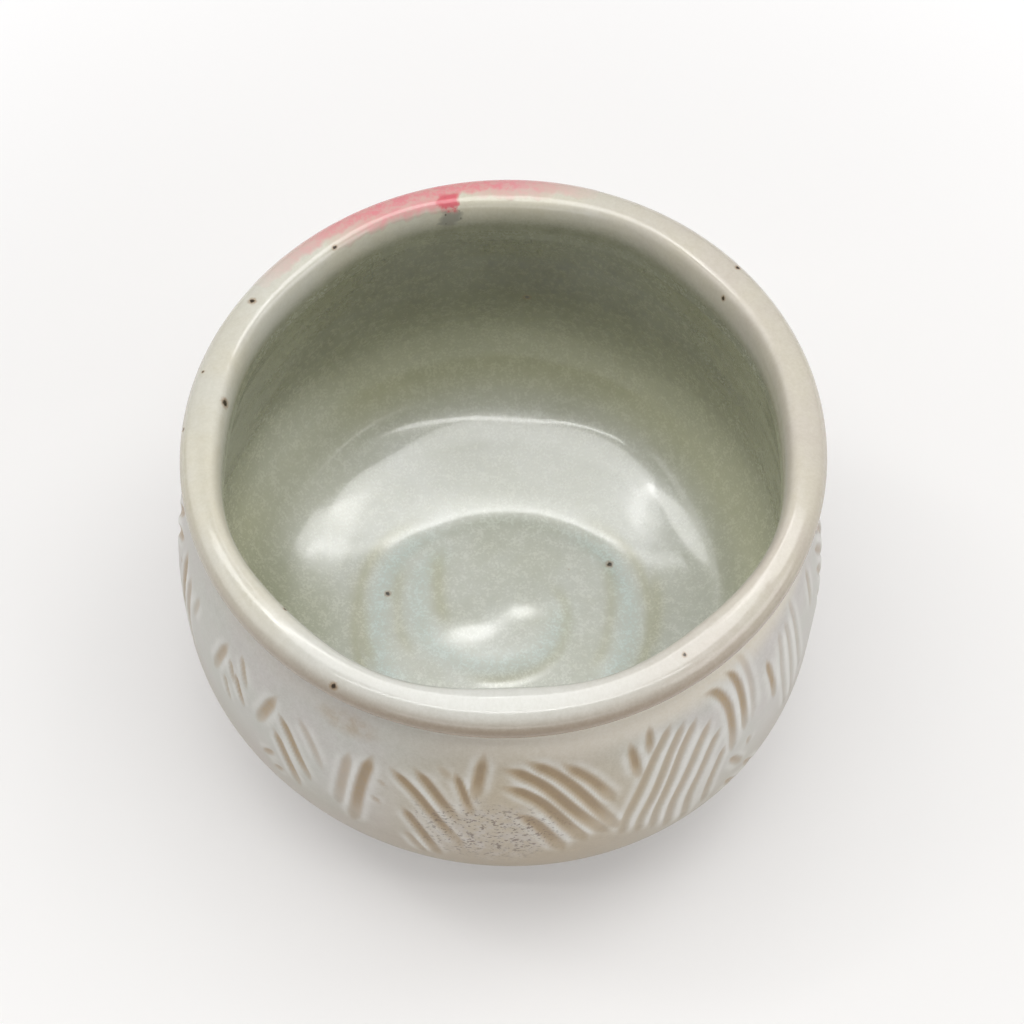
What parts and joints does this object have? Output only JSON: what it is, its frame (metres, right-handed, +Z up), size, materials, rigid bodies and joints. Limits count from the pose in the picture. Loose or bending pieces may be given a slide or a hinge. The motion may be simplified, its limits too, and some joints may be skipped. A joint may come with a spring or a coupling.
{
  "type": "tea bowl",
  "caption": "Round thrown stoneware tea bowl with a rolled lip, full belly, carved hatch band, turned foot ring, celadon lining, pale outside glaze and a copper blush on the rim.",
  "frame": {"origin": "centre of the flat resting face of the foot ring", "axes": "+Z up along the axis on which the bowl was thrown, +X to the right and -Y to the front as pictured"},
  "size_m": [0.1142, 0.1142, 0.076],
  "materials": {
    "stoneware": "bare fired stoneware, fine grit, matt",
    "foot_clay": "bare turned stoneware, toasted, matt",
    "celadon": "grey-green celadon, gloss, paler where it pools",
    "pale_glaze": "pale grey-white satin glaze, tan where it breaks over the carving",
    "cream_glaze": "cream satin gloss, thin and warm on the edge",
    "copper_red": "copper-red stain melted into the lip glaze, with dark specks"
  },
  "bodies": {
    "root": {"clay_body": "stoneware", "foot_ring": "foot_clay", "inside_glaze": "celadon", "outside_glaze": "pale_glaze", "lip_glaze": "cream_glaze", "copper_blush": "copper_red"}
  },
  "joints": []
}
